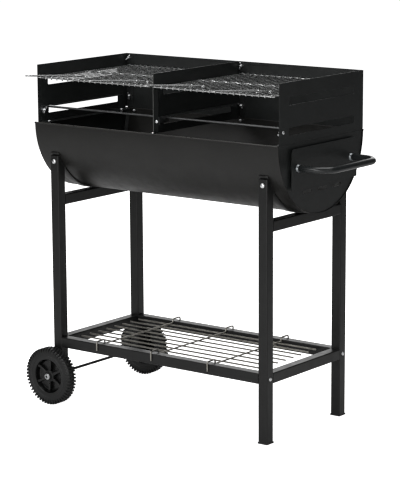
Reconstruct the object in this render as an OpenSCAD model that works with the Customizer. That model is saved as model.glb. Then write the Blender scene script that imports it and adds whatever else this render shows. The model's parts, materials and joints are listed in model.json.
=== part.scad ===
// Barrel charcoal grill: a half-round fire trough with raised wind shields, on a
// square-tube stand with two wheels, a push handle and a wire shelf.
// Millimetres, +Z up. +X is the push-handle end and -Y is the side the cook stands on.
// The design is laid out about the divider (x = 0) and the middle of the trough (y = 0),
// then moved so that the origin is under the middle of the whole grill, on the ground.

/* [Trough] */
// Outside radius of the half-round fire trough
trough_r = 206; // [204:0.5:208]
// Length of the trough along X
trough_len = 857; // [853:1:861]
// Height of the trough's rim above the ground
rim_z = 827; // [823:1:831]
// Sheet thickness of the trough and its end caps
trough_t = 1.5; // [1.2:0.1:1.8]

/* [Stand] */
// Outside size of the square tube
tube = 30; // [29:0.5:31]
// Wall thickness of the square tube
tube_wall = 1.5; // [1.2:0.1:2]
// Distance from the middle of the stand to each leg's centre along X
leg_x = 369.3; // [366:0.5:372]
// Distance from the middle of the stand to each leg's centre along Y
leg_y = 178.3; // [177:0.1:179.5]
// Height of the top of the legs
leg_top_z = 733; // [729:1:737]
// Height of the top of the shelf rails
shelf_rail_z = 197.5; // [170:0.5:260]

/* [Wheels] */
// Wheel diameter
wheel_d = 169; // [150:1:176]
// Wheel width
wheel_w = 34; // [28:1:40]
// Axle diameter
axle_d = 8; // [7.8:0.1:8.2]

/* [Wind shields] */
// Sheet thickness of the wind shields
shield_t = 1.2; // [1:0.1:1.4]
// Height of the shields' top edge above the ground
shield_top_z = 993.5; // [991:0.5:996]

/* [Grates] */
// Height of the cooking grates' middle plane
grate_z = 958; // [957.9:0.1:959]
// Number of cooking bars in each grate
bar_count = 20; // [18:1:20]
// Height of the charcoal grates' middle plane
charcoal_z = 696; // [690:1:700]

/* [Push handle] */
// Height of the push handle
handle_z = 760; // [755:1:765]
// Distance between the middles of the handle's two arms
handle_span = 257; // [240:1:270]
// Outside diameter of the handle tube
handle_d = 18.5; // [17:0.5:20]

/* [Hidden] */
$fn = 96;
eps = 0.5;
gap = 0.05;
run_gap = 0.3;

// trough and end caps
trough_half = trough_len / 2;
trough_in_r = trough_r - trough_t;
hem_r = 2.5;
cap_recess = 2.5;
cap_out_x = trough_half - cap_recess;
cap_in_x = cap_out_x - trough_t;
cap_lip = 12;
cap_top_lip = 22;
cap_half_w = trough_r - hem_r - 0.2;
vent_len = 44;
vent_h = 9.5;
vent_pitch = 73;
vent_drop = 138;
drain_y = 76;
drain_drop = 188;
drain_d = 5;
// the push handle, its plate and the vents sit a little behind the middle of the trough
end_mid_y = 8;

// stand
tube_corner = 3;
leg_out_x = leg_x + tube / 2;
leg_out_y = leg_y + tube / 2;
leg_in_x = leg_x - tube / 2;
leg_in_y = leg_y - tube / 2;
saddle_t = 2.5;
saddle_r = trough_r + gap + saddle_t;
crossbar_top_z = rim_z - saddle_r - gap;
foot_t = 4;
foot_w = tube + 2;
wheel_leg_z = 62;
leg_bolt_z = 717;
shelf_bolt_z = shelf_rail_z - tube / 2;

// wheels and axle
axle_x = leg_x + 6.7;
wheel_z = wheel_d / 2;
wheel_in_y = leg_out_y + 7.2;
wheel_out_y = wheel_in_y + wheel_w;
hub_cap_y = wheel_out_y + 4.5;
hub_r = 17;
axle_bore_d = axle_d + 0.1;

// wind shields
panel_out_x = 425.2;
panel_in_x = panel_out_x - shield_t;
panel_front_y = -196;
panel_back_y = 209;
back_out_y = panel_back_y + shield_t;
panel_foot_z = rim_z + gap;
back_bottom_z = rim_z - 9;
back_flange = 26;
foot_flange = 18;
divider_flange = 18;
notch_top_z = rim_z + 5;
slot_front_y = -152;
slot_back_y = 164;
slot_h = 23;
slot_corner = 4;
ledge_top_z = grate_z - 3;
low_ledge_z = ledge_top_z - 82;
ledge_w = 23;
wing_x = 412;
wing_high_z = shield_top_z - 12.5;
wing_low_z = rim_z + 38;
divider_wing_x = 8;
side_bolt_y = -178;
side_bolt_z = rim_z + 35;
foot_screw_x = 411;
foot_screw_y = 164;
rim_bolt_x = 391;
rim_bolt_z = rim_z - 5;
divider_bolt_x = 12.3;
divider_foot_x = 6.6;

// front rail
rail_r = 3;
rail_y = -157;
rail_z = rim_z + 42.3;

// cooking grates
grate_x = 210.5;
grate_half = 205.5;
grate_front_y = -203;
grate_back_y = 200;
bar_pitch = 20.5;
bar_r = 1.6;
cross_r = 2.2;
grip_bar_x = 5.5 * bar_pitch;
grip_base_y = -128;
grip_tip_y = -356;
grip_rise = 20;
grip_wire_r = 1.7;
grip_tip_r = 6;
ring_r = 3.5;

// charcoal grates
charcoal_bar_r = 2;
charcoal_cross_r = 2.5;
charcoal_half = 200;
charcoal_pitch = 20;
charcoal_half_w = sqrt(pow(trough_in_r, 2) - pow(rim_z - charcoal_z + charcoal_cross_r, 2)) - 0.8;

// push handle
handle_out_x = 528;
handle_bend = 49;
shield_plate_x = cap_out_x + 6.5;
shield_plate_t = 1.5;
handle_start_x = shield_plate_x + shield_plate_t;
handle_ys = [end_mid_y - handle_span / 2, end_mid_y + handle_span / 2];

// wire shelf
shelf_wire_r = 2.3;
shelf_x = -17;
shelf_half = 328;
shelf_wire_z = shelf_rail_z - 9;
shelf_pitch = 38;
shelf_cross_pitch = 200;
shelf_cross_z = shelf_wire_z + 2 * shelf_wire_r - 0.3;
hook_start_y = 4 * shelf_pitch + shelf_wire_r + 0.3;
hook_z = shelf_rail_z - 20;

// fasteners
m5 = 5;
m6 = 6;
m8 = 8;
hole_play = 0.4;
nut_play = 0.1;

// the whole grill's extents in the layout, which place the origin
x_min = -axle_x - wheel_d / 2;
x_max = handle_out_x + handle_d / 2;
y_min = grip_tip_y;
y_max = hub_cap_y;
mid_x = (x_min + x_max) / 2;
mid_y = (y_min + y_max) / 2;

charcoal_paint = "#24282a";
trough_paint = "#2e2f2f";
zinc = "#b9bcbd";
shelf_steel = "#a8a69f";
black_plastic = "#1b1c1d";

// ---------- helpers ----------

// moves the layout so that the origin is under the middle of the grill
module in_frame() {
    translate([-mid_x, -mid_y, 0]) children();
}

// a box given by its lowest and highest corners
module box(low, high) {
    translate(low) cube(high - low);
}

// a rod along X, Y or Z, centred on its own length
module rod_x(at, length, r) {
    translate(at) rotate([0, 90, 0]) cylinder(h = length, r = r, center = true);
}
module rod_y(at, length, r) {
    translate(at) rotate([90, 0, 0]) cylinder(h = length, r = r, center = true);
}
module rod_z(at, length, r) {
    translate(at) cylinder(h = length, r = r, center = true);
}

// a straight rod from one point to another
module rod(start, end, r) {
    step = end - start;
    length = norm(step);
    translate(start)
        rotate([0, acos(step[2] / length), atan2(step[1], step[0])])
            cylinder(h = length, r = r, $fn = 32);
}

// a round wire bent at each of its inner points
module bent_wire(points, r) {
    for (i = [0 : len(points) - 2]) rod(points[i], points[i + 1], r);
    for (i = [1 : len(points) - 2]) translate(points[i]) sphere(r = r + 0.1, $fn = 32);
}

// turns a shape drawn along +Z to point along +X, -X, +Y, -Y or -Z
module along_x(at) { translate(at) rotate([0, 90, 0]) children(); }
module along_minus_x(at) { translate(at) rotate([0, -90, 0]) children(); }
module along_y(at) { translate(at) rotate([-90, 0, 0]) children(); }
module along_minus_y(at) { translate(at) rotate([90, 0, 0]) children(); }
module along_minus_z(at) { translate(at) rotate([180, 0, 0]) children(); }

// a flat outline drawn in (y, z), made into a sheet from x to x + t
module sheet_x(x, t) {
    translate([x, 0, 0]) rotate([90, 0, 90]) linear_extrude(height = t) children();
}

// a rectangle with round corners, given by two opposite corners
module round_rect(low, high, r) {
    translate([low[0] + r, low[1]]) square([high[0] - low[0] - 2 * r, high[1] - low[1]]);
    translate([low[0], low[1] + r]) square([high[0] - low[0], high[1] - low[1] - 2 * r]);
    for (u = [low[0] + r, high[0] - r], v = [low[1] + r, high[1] - r])
        translate([u, v]) circle(r = r, $fn = 48);
}

// a bolt with its head below z = 0 and its shank above
module bolt(d, head_d, head_h, length) {
    translate([0, 0, -head_h]) cylinder(h = head_h, d = head_d, $fn = 48);
    translate([0, 0, -eps]) cylinder(h = length + eps, d = d, $fn = 48);
}

// a hexagon nut sitting on z = 0
module hex_nut(d, across, height) {
    difference() {
        cylinder(h = height, d = across / cos(30), $fn = 6);
        translate([0, 0, -1]) cylinder(h = height + 2, d = d + nut_play, $fn = 48);
    }
}

// a wing nut sitting on z = 0, with its wings along X
module wing_nut() {
    difference() {
        union() {
            cylinder(h = 6.5, d = 9.5, $fn = 48);
            for (side = [-1, 1]) {
                translate([side * 6.5, 0, 6.5]) cube([6, 1.8, 5], center = true);
                translate([side * 8.2, 0, 9]) rotate([90, 0, 0])
                    cylinder(h = 1.8, r = 3.6, center = true, $fn = 48);
            }
        }
        translate([0, 0, -1]) cylinder(h = 16, d = m5 + nut_play, $fn = 48);
    }
}

// ---------- trough ----------

// the holes that the leg bolts pass through, in the saddles and the trough
module leg_bolt_holes() {
    for (x = [-leg_x, leg_x])
        rod_y([x, 0, leg_bolt_z], 2 * leg_out_y + 20, (m8 + hole_play) / 2);
}

module barrel_trough() {
    color(trough_paint) in_frame() difference() {
        union() {
            difference() {
                rod_x([0, 0, rim_z], trough_len, trough_r);
                rod_x([0, 0, rim_z], trough_len + 2, trough_in_r);
                box([-trough_len, -2 * trough_r, rim_z], [trough_len, 2 * trough_r, rim_z + 2 * trough_r]);
            }
            for (side = [-1, 1]) rod_x([0, side * trough_r, rim_z], trough_len, hem_r);
        }
        leg_bolt_holes();
        for (x = [-rim_bolt_x, divider_wing_x, rim_bolt_x])
            rod_y([x, trough_r, rim_bolt_z], 20, (m5 + hole_play) / 2);
    }
}

// the half-round outline of an end cap, in (y, z), r in radius
module cap_outline(r) {
    intersection() {
        translate([0, rim_z]) circle(r = r);
        translate([-cap_half_w, rim_z - trough_r]) square([2 * cap_half_w, trough_r]);
    }
}

// the right-hand end cap before its handle holes; the left-hand one is its mirror image
module end_cap() {
    cap_r = trough_in_r - gap;
    difference() {
        union() {
            sheet_x(cap_in_x, trough_t) cap_outline(cap_r);
            sheet_x(cap_in_x - cap_lip, cap_lip + eps) difference() {
                cap_outline(cap_r);
                translate([0, rim_z]) circle(r = cap_r - trough_t);
            }
            box([cap_in_x - cap_top_lip, -cap_half_w + 6, rim_z - trough_t],
                [cap_in_x + eps, cap_half_w - 6, rim_z]);
        }
        for (y = [end_mid_y - vent_pitch, end_mid_y, end_mid_y + vent_pitch])
            sheet_x(cap_in_x - 1, trough_t + 2)
                round_rect([y - vent_len / 2, rim_z - vent_drop - vent_h / 2],
                    [y + vent_len / 2, rim_z - vent_drop + vent_h / 2], vent_h / 2 - 0.01);
        rod_x([cap_in_x, drain_y, rim_z - drain_drop], 10, drain_d / 2);
        for (y = [-foot_screw_y, foot_screw_y])
            rod_z([foot_screw_x, y, rim_z], 10, (m5 + hole_play) / 2);
    }
}

// the holes in the right-hand cap and the shield plate for the push handle's bolts
module handle_bolt_holes() {
    for (y = handle_ys)
        rod_x([shield_plate_x, y, handle_z], 40, (m8 + hole_play) / 2);
}

module end_cap_right() {
    color(charcoal_paint) in_frame() difference() {
        end_cap();
        handle_bolt_holes();
    }
}
module end_cap_left() { color(charcoal_paint) in_frame() mirror([1, 0, 0]) end_cap(); }

// ---------- push handle ----------

// the heat shield plate behind the push handle: bowed sides and round top corners
module handle_shield() {
    bow_r = 195;
    half_w = 162;
    low_z = handle_z - 57;
    high_z = handle_z + 54;
    color(charcoal_paint) in_frame() difference() {
        translate([0, end_mid_y, 0]) sheet_x(shield_plate_x, shield_plate_t) intersection() {
            for (side = [-1, 1])
                translate([side * (half_w - bow_r), handle_z + 13]) circle(r = bow_r, $fn = 180);
            round_rect([-half_w + 4, low_z - 30], [half_w - 4, high_z], 12);
            translate([-half_w, low_z]) square([2 * half_w, high_z - low_z]);
        }
        handle_bolt_holes();
    }
}

module handle_spacers() {
    color(zinc) in_frame() for (y = handle_ys)
        along_x([cap_out_x, y, handle_z]) difference() {
            cylinder(h = shield_plate_x - cap_out_x, d = 22);
            translate([0, 0, -1]) cylinder(h = 20, d = m8 + hole_play);
        }
}

// the outline of a U-shaped bar of radius r, in the plane of the handle
module handle_bar(r) {
    bar_y = handle_span / 2;
    arm = handle_out_x - handle_bend - handle_start_x;
    for (side = [-1, 1]) {
        rod_x([handle_start_x + arm / 2, end_mid_y + side * bar_y, handle_z], arm, r);
        translate([handle_out_x - handle_bend, end_mid_y + side * (bar_y - handle_bend), handle_z])
            rotate([0, 0, side > 0 ? 0 : -90])
                rotate_extrude(angle = 90) translate([handle_bend, 0]) circle(r = r, $fn = 48);
    }
    rod_y([handle_out_x, end_mid_y, handle_z], handle_span - 2 * handle_bend, r);
}

module push_handle() {
    color(charcoal_paint) in_frame() difference() {
        handle_bar(handle_d / 2);
        for (y = handle_ys)
            along_x([handle_start_x - 1, y, handle_z]) cylinder(h = 31, d = handle_d - 3);
    }
}

module handle_collars() {
    color(zinc) in_frame() for (y = handle_ys)
        along_x([handle_start_x, y, handle_z]) difference() {
            cylinder(h = 6, d = handle_d + 4.5);
            translate([0, 0, -1]) cylinder(h = 8, d = handle_d + nut_play);
        }
}

// the threaded plugs in the ends of the handle tube
module handle_inserts() {
    color(zinc) in_frame() for (y = handle_ys)
        along_x([handle_start_x, y, handle_z]) difference() {
            cylinder(h = 24, d = handle_d - 3 - nut_play);
            translate([0, 0, -1]) cylinder(h = 26, d = m8 + nut_play);
        }
}

module handle_bolts() {
    color(zinc) in_frame() for (y = handle_ys)
        along_x([cap_in_x, y, handle_z]) bolt(m8, 14, 4.5, 32);
}

// ---------- wind shields ----------

// a wind shield's side outline in (y, z), with its slots and its notch for the rim's hem
module shield_outline() {
    difference() {
        translate([panel_front_y, panel_foot_z])
            square([panel_back_y - panel_front_y, shield_top_z - panel_foot_z]);
        translate([trough_r - 6, panel_foot_z - 1]) square([20, notch_top_z - panel_foot_z + 1]);
        for (top_z = [ledge_top_z, low_ledge_z])
            round_rect([slot_front_y, top_z - slot_h], [slot_back_y, top_z - shield_t], slot_corner);
    }
}

// the ledges folded out of the slots, towards +X from x
module folded_ledges(x) {
    for (top_z = [ledge_top_z, low_ledge_z])
        box([x, slot_front_y + 2, top_z - shield_t], [x + ledge_w, slot_back_y - 2, top_z]);
}

// a flange at the back of a shield, from x0 to x1, with its two bolt holes at bolt_x
module back_flange_strip(x0, x1, bolt_x) {
    difference() {
        box([x0, panel_back_y - shield_t, notch_top_z], [x1, panel_back_y, shield_top_z]);
        for (z = [wing_low_z, wing_high_z]) rod_y([bolt_x, panel_back_y, z], 10, (m5 + hole_play) / 2);
    }
}

// the left-hand wind shield; the right-hand one is its mirror image
module side_shield() {
    difference() {
        union() {
            sheet_x(-panel_out_x, shield_t) shield_outline();
            folded_ledges(-panel_in_x - eps);
            back_flange_strip(-panel_in_x - eps, -panel_out_x + back_flange, -wing_x);
            box([-panel_in_x - eps, -190, panel_foot_z],
                [-panel_in_x + foot_flange, 190, panel_foot_z + shield_t]);
        }
        rod_x([-panel_out_x, side_bolt_y, side_bolt_z], 10, (m5 + hole_play) / 2);
        for (y = [-foot_screw_y, foot_screw_y])
            rod_z([-foot_screw_x, y, panel_foot_z], 10, (m5 + hole_play) / 2);
    }
}

module windshield_left() { color(charcoal_paint) in_frame() side_shield(); }
module windshield_right() { color(charcoal_paint) in_frame() mirror([1, 0, 0]) side_shield(); }

module windshield_back() {
    color(charcoal_paint) in_frame() difference() {
        box([-panel_in_x, panel_back_y + gap, back_bottom_z], [panel_in_x, back_out_y, shield_top_z]);
        for (x = [-wing_x, divider_wing_x, wing_x], z = [wing_low_z, wing_high_z])
            rod_y([x, panel_back_y, z], 10, (m5 + hole_play) / 2);
        for (x = [-rim_bolt_x, divider_wing_x, rim_bolt_x])
            rod_y([x, panel_back_y, rim_bolt_z], 10, (m5 + hole_play) / 2);
    }
}

// the sheet between the two cooking bays; its front flange stops below the grates
module divider() {
    flange_top_z = ledge_top_z - 6;
    foot_z = rim_z + hem_r + gap;
    color(charcoal_paint) in_frame() difference() {
        union() {
            sheet_x(-shield_t / 2, shield_t) shield_outline();
            folded_ledges(shield_t / 2 - eps);
            back_flange_strip(-shield_t / 2, divider_flange, divider_wing_x);
            box([-shield_t / 2, panel_front_y, foot_z],
                [divider_flange, panel_front_y + shield_t, flange_top_z]);
            box([-shield_t / 2, -trough_r - hem_r, foot_z],
                [14, panel_front_y + shield_t, foot_z + shield_t]);
        }
        rod_x([0, rail_y, rail_z], 10, rail_r + 0.3);
        rod_y([divider_bolt_x, panel_front_y, side_bolt_z], 10, (m5 + hole_play) / 2);
        rod_z([divider_foot_x, -trough_r, foot_z], 10, (m5 + hole_play) / 2);
    }
}

// two angle strips on the divider's other side, which carry the left-hand grate
module divider_ledges() {
    color(charcoal_paint) in_frame() for (top_z = [ledge_top_z, low_ledge_z]) {
        box([-shield_t / 2 - ledge_w, slot_front_y + 2, top_z - shield_t],
            [-shield_t / 2 - gap, slot_back_y - 2, top_z]);
        box([-shield_t / 2 - gap - shield_t, slot_front_y + 2, top_z - shield_t],
            [-shield_t / 2 - gap, slot_back_y - 2, top_z + 9]);
    }
}

// ---------- front rail ----------

module front_rail() {
    tab_t = 1.5;
    tab_x = panel_in_x - gap - tab_t;
    flange_y = panel_front_y + shield_t + gap;
    color("#6f7475") in_frame() difference() {
        union() {
            rod_x([0, rail_y, rail_z], 2 * tab_x + 2 * eps, rail_r);
            for (side = [-1, 1])
                sheet_x(side > 0 ? tab_x : -tab_x - tab_t, tab_t)
                    round_rect([side_bolt_y - 9, side_bolt_z - 9], [rail_y + 5, rail_z + 5], 4);
            box([divider_bolt_x - 8, flange_y, side_bolt_z - 8],
                [divider_bolt_x + 8, flange_y + tab_t, rail_z + 5]);
            box([divider_bolt_x + 8 - tab_t, flange_y, side_bolt_z - 4],
                [divider_bolt_x + 8, rail_y + 4, rail_z + 5]);
        }
        for (side = [-1, 1])
            rod_x([side * panel_in_x, side_bolt_y, side_bolt_z], 20, (m5 + hole_play) / 2);
        rod_y([divider_bolt_x, flange_y, side_bolt_z], 10, (m5 + hole_play) / 2);
    }
}

module rail_nut() {
    color(zinc) in_frame()
        along_y([divider_bolt_x, panel_front_y + shield_t + 2 * gap + 1.5, side_bolt_z]) hex_nut(m5, 8, 4);
}

// ---------- shield fasteners ----------

module wing_nuts() {
    color(zinc) in_frame() {
        for (x = [-wing_x, divider_wing_x, wing_x], z = [wing_low_z, wing_high_z])
            along_minus_y([x, panel_back_y - shield_t - gap, z]) rotate([0, 0, 90]) wing_nut();
        along_minus_x([panel_in_x - 1.5 - 2 * gap, side_bolt_y, side_bolt_z]) wing_nut();
        along_x([-panel_in_x + 1.5 + 2 * gap, side_bolt_y, side_bolt_z]) wing_nut();
    }
}

module shield_bolts() {
    color(zinc) in_frame() {
        for (x = [-wing_x, divider_wing_x, wing_x], z = [wing_low_z, wing_high_z])
            along_minus_y([x, back_out_y + gap, z]) bolt(m5, 9.5, 2.8, 14);
        along_minus_x([panel_out_x + gap, side_bolt_y, side_bolt_z]) bolt(m5, 9.5, 2.8, 14);
        along_x([-panel_out_x - gap, side_bolt_y, side_bolt_z]) bolt(m5, 9.5, 2.8, 14);
        along_y([divider_bolt_x, panel_front_y - gap, side_bolt_z]) bolt(m5, 9.5, 2.8, 9);
        along_minus_z([divider_foot_x, -trough_r, rim_z + hem_r + shield_t + 2 * gap]) bolt(m5, 8, 2.4, 1.2);
    }
}

module rim_bolts() {
    color(zinc) in_frame() for (x = [-rim_bolt_x, divider_wing_x, rim_bolt_x])
        along_minus_y([x, back_out_y + gap, rim_bolt_z]) bolt(m5, 9.5, 2.8, 16);
}

module rim_nuts() {
    color(zinc) in_frame() for (x = [-rim_bolt_x, divider_wing_x, rim_bolt_x])
        along_minus_y([x, trough_in_r - 1.4, rim_bolt_z]) hex_nut(m5, 8, 4);
}

module foot_screws() {
    color(zinc) in_frame() for (x = [-foot_screw_x, foot_screw_x], y = [-foot_screw_y, foot_screw_y])
        along_minus_z([x, y, panel_foot_z + shield_t + gap]) bolt(m5, 9.5, 2.8, 12);
}

module foot_screw_nuts() {
    color(zinc) in_frame() for (x = [-foot_screw_x, foot_screw_x], y = [-foot_screw_y, foot_screw_y])
        along_minus_z([x, y, rim_z - trough_t - gap]) hex_nut(m5, 8, 4);
}

// ---------- cooking grates ----------

// one cooking grate, centred on x
module cooking_grate(x) {
    first = -(bar_count - 1) / 2;
    bar_len = grate_back_y - grate_front_y;
    for (i = [0 : bar_count - 1])
        rod_y([x + (first + i) * bar_pitch, (grate_front_y + grate_back_y) / 2, grate_z], bar_len, bar_r);
    for (y = [grate_front_y, (grate_front_y + grate_back_y) / 2, grate_back_y])
        rod_x([x, y, grate_z], 2 * grate_half, cross_r);
}

module cooking_grate_left() { color(zinc) in_frame() cooking_grate(-grate_x); }
module cooking_grate_right() { color(zinc) in_frame() cooking_grate(grate_x); }

// one wire loop handle: two legs ringed round neighbouring bars, joined by a round tip
module grate_grip(x) {
    tip_y = grip_tip_y + grip_wire_r + grip_tip_r;
    base_z = grate_z + ring_r;
    tip_z = base_z + grip_rise;
    for (side = [-1, 1]) {
        rod([x + side * grip_tip_r, tip_y, tip_z], [x + side * bar_pitch, grip_base_y, base_z], grip_wire_r);
        translate([x + side * bar_pitch, grip_base_y, base_z - ring_r]) rotate([90, 0, 0])
            rotate_extrude($fn = 48) translate([ring_r, 0]) circle(r = grip_wire_r - 0.1, $fn = 32);
    }
    translate([x, tip_y, tip_z]) rotate([0, 0, 180])
        rotate_extrude(angle = 180, $fn = 48) translate([grip_tip_r, 0]) circle(r = grip_wire_r, $fn = 32);
}

// the two loop handles of one grate; they ring the bars on either side of each handle
module grate_grips(x) {
    for (side = [-1, 1]) grate_grip(x + side * grip_bar_x);
}

module grate_handles_left() { color(zinc) in_frame() grate_grips(-grate_x); }
module grate_handles_right() { color(zinc) in_frame() grate_grips(grate_x); }

// ---------- charcoal grates ----------

module charcoal_grate(x) {
    bars = 2 * floor((charcoal_half - 4) / charcoal_pitch);
    for (i = [-bars / 2 : bars / 2])
        rod_y([x + i * charcoal_pitch, 0, charcoal_z], 2 * charcoal_half_w, charcoal_bar_r);
    for (y = [-120, 0, 120]) rod_x([x, y, charcoal_z], 2 * charcoal_half, charcoal_cross_r);
}

module charcoal_grate_left() { color("#55524d") in_frame() charcoal_grate(-grate_x + 2); }
module charcoal_grate_right() { color("#55524d") in_frame() charcoal_grate(grate_x - 2); }

// ---------- stand ----------

// the outline of the square tube, with round corners inside and out
module tube_outline() {
    inner = tube - 2 * tube_wall;
    difference() {
        round_rect([-tube / 2, -tube / 2], [tube / 2, tube / 2], tube_corner);
        round_rect([-inner / 2, -inner / 2], [inner / 2, inner / 2], tube_corner - tube_wall / 2);
    }
}

// a hollow square tube along Z between two heights
module tube_z(x, y, low, high) {
    translate([x, y, low]) linear_extrude(height = high - low) tube_outline();
}

// a hollow square tube along X or Y, centred on its own length
module tube_x(at, length) {
    translate(at) rotate([0, 90, 0]) linear_extrude(height = length, center = true) tube_outline();
}
module tube_y(at, length) {
    translate(at) rotate([90, 0, 0]) linear_extrude(height = length, center = true) tube_outline();
}

// a leg at one corner, coped to the saddle, with its bolt holes
module leg(side_x, side_y, low) {
    x = side_x * leg_x;
    y = side_y * leg_y;
    difference() {
        tube_z(x, y, low, leg_top_z);
        rod_x([x, 0, rim_z], tube + 4, saddle_r + gap);
        rod_y([x, side_y * leg_out_y, leg_bolt_z], 10, (m8 + hole_play) / 2);
        rod_x([x, y, shelf_bolt_z], tube + 4, (m6 + hole_play) / 2);
        if (side_x < 0) rod_y([-axle_x, y, wheel_z], tube + 4, axle_bore_d / 2);
    }
}

module leg_front_left() { color(charcoal_paint) in_frame() leg(-1, -1, wheel_leg_z); }
module leg_back_left() { color(charcoal_paint) in_frame() leg(-1, 1, wheel_leg_z); }
module leg_front_right() { color(charcoal_paint) in_frame() leg(1, -1, foot_t); }
module leg_back_right() { color(charcoal_paint) in_frame() leg(1, 1, foot_t); }

module crossbar(side) {
    tube_y([side * leg_x, 0, crossbar_top_z - tube / 2], 2 * leg_in_y);
}
module crossbar_left() { color(charcoal_paint) in_frame() crossbar(-1); }
module crossbar_right() { color(charcoal_paint) in_frame() crossbar(1); }

// the curved strip that the trough lies in, from leg to leg
module saddle(side) {
    low_y = leg_out_y - 2;
    difference() {
        intersection() {
            rod_x([side * leg_x, 0, rim_z], tube, saddle_r);
            box([side * leg_x - tube, -low_y, rim_z - saddle_r - 1],
                [side * leg_x + tube, low_y, leg_top_z + 10]);
        }
        rod_x([side * leg_x, 0, rim_z], tube + 2, trough_r + gap);
        leg_bolt_holes();
    }
}
module saddle_left() { color(charcoal_paint) in_frame() saddle(-1); }
module saddle_right() { color(charcoal_paint) in_frame() saddle(1); }

module shelf_rail_long(side) {
    tube_x([0, side * leg_y, shelf_rail_z - tube / 2], 2 * leg_in_x);
}
module shelf_rail_short(side) {
    tube_y([side * leg_x, 0, shelf_rail_z - tube / 2], 2 * leg_in_y);
}
module shelf_rail_front() { color(charcoal_paint) in_frame() shelf_rail_long(-1); }
module shelf_rail_back() { color(charcoal_paint) in_frame() shelf_rail_long(1); }
module shelf_rail_left() { color(charcoal_paint) in_frame() shelf_rail_short(-1); }
module shelf_rail_right() { color(charcoal_paint) in_frame() shelf_rail_short(1); }

// rubber caps with a plug in each right-hand leg
module foot_caps() {
    plug = tube - 2 * tube_wall - nut_play;
    color(black_plastic) in_frame() for (y = [-leg_y, leg_y]) {
        translate([leg_x - foot_w / 2, y - foot_w / 2, 0]) cube([foot_w, foot_w, foot_t - gap]);
        translate([leg_x, y, 1]) linear_extrude(height = 16)
            round_rect([-plug / 2, -plug / 2], [plug / 2, plug / 2], tube_corner);
    }
}

// bolts from the legs' outer faces into the trough, and their nuts inside it
module leg_bolts() {
    color(zinc) in_frame() for (x = [-leg_x, leg_x]) {
        along_y([x, -leg_out_y - gap, leg_bolt_z]) bolt(m8, 14, 4.5, 34);
        along_minus_y([x, leg_out_y + gap, leg_bolt_z]) bolt(m8, 14, 4.5, 34);
    }
}
module leg_nuts() {
    nut_y = 167;
    color(zinc) in_frame() for (x = [-leg_x, leg_x]) {
        along_y([x, -nut_y, leg_bolt_z]) hex_nut(m8, 13, 6);
        along_minus_y([x, nut_y, leg_bolt_z]) hex_nut(m8, 13, 6);
    }
}

// bolts through the legs into the ends of the long shelf rails, and their nuts
module shelf_bolts() {
    color(zinc) in_frame() for (y = [-leg_y, leg_y]) {
        along_minus_x([leg_out_x + gap, y, shelf_bolt_z]) bolt(m6, 11, 3.6, 38);
        along_x([-leg_out_x - gap, y, shelf_bolt_z]) bolt(m6, 11, 3.6, 38);
    }
}
module shelf_nuts() {
    color(zinc) in_frame() for (y = [-leg_y, leg_y]) {
        along_minus_x([leg_in_x - gap, y, shelf_bolt_z]) hex_nut(m6, 10, 5);
        along_x([-leg_in_x + gap, y, shelf_bolt_z]) hex_nut(m6, 10, 5);
    }
}

// ---------- wire shelf ----------

// nine long wires on three cross wires
module wire_shelf() {
    color(shelf_steel) in_frame() {
        for (i = [-4 : 4])
            rod_x([shelf_x, i * shelf_pitch, shelf_wire_z], 2 * shelf_half, shelf_wire_r);
        for (k = [-1 : 1])
            rod_y([shelf_x + k * shelf_cross_pitch, 0, shelf_cross_z], 2 * hook_start_y, shelf_wire_r);
    }
}

// the ends of the cross wires on one side, which hook over the long shelf rail
module shelf_hooks(side) {
    over_z = shelf_rail_z + run_gap + shelf_wire_r;
    out_y = leg_out_y + run_gap + shelf_wire_r;
    path = [
        [hook_start_y + gap, shelf_cross_z], [leg_in_y - 3, shelf_cross_z], [leg_in_y - 3, over_z],
        [out_y, over_z], [out_y, hook_z]
    ];
    for (k = [-1 : 1])
        bent_wire([for (at = path) [shelf_x + k * shelf_cross_pitch, side * at[0], at[1]]], shelf_wire_r);
}
module shelf_hooks_front() { color(shelf_steel) in_frame() shelf_hooks(-1); }
module shelf_hooks_back() { color(shelf_steel) in_frame() shelf_hooks(1); }

// ---------- wheels ----------

module axle() {
    color("#2a2b2b") in_frame() rod_y([-axle_x, 0, wheel_z], 2 * (wheel_out_y + 1.5), axle_d / 2);
}

module axle_spacers() {
    length = wheel_in_y - run_gap - leg_out_y - gap;
    color(zinc) in_frame() for (side = [-1, 1])
        translate([-axle_x, side * (leg_out_y + gap + length / 2), wheel_z]) rotate([90, 0, 0])
            difference() {
                cylinder(h = length, d = 14, center = true);
                cylinder(h = length + 2, d = axle_d + nut_play, center = true);
            }
}

// one moulded wheel: tyre, dished web with six round pockets in each face, and hub with its bore
module wheel(y) {
    half_w = wheel_w / 2;
    wheel_r = wheel_d / 2;
    rim_r = wheel_r * 0.6;
    web = 4;
    pocket_z = 1.5;
    translate([-axle_x, y, wheel_z]) rotate([90, 0, 0]) difference() {
        rotate_extrude() difference() {
            union() {
                translate([0, -web]) square([wheel_r - 10, 2 * web]);
                translate([0, -half_w]) square([hub_r, wheel_w]);
                translate([rim_r, -half_w + 2]) square([wheel_r - rim_r - 3, wheel_w - 4]);
                polygon([
                    [wheel_r - 16, -half_w], [wheel_r - 3, -half_w], [wheel_r, -half_w + 4],
                    [wheel_r, half_w - 4], [wheel_r - 3, half_w], [wheel_r - 16, half_w]
                ]);
            }
            translate([0, -half_w - 1]) square([axle_bore_d / 2, wheel_w + 2]);
        }
        for (i = [0 : 5], side = [-1, 1]) rotate([0, 0, i * 60])
            translate([(hub_r + rim_r) / 2, 0, side * (pocket_z + half_w / 2)])
                cylinder(h = half_w, r = (rim_r - hub_r) / 2 - 3, center = true);
    }
}

wheel_mid_y = (wheel_in_y + wheel_out_y) / 2;
module wheel_front() { color(black_plastic) in_frame() wheel(-wheel_mid_y); }
module wheel_back() { color(black_plastic) in_frame() wheel(wheel_mid_y); }

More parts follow.
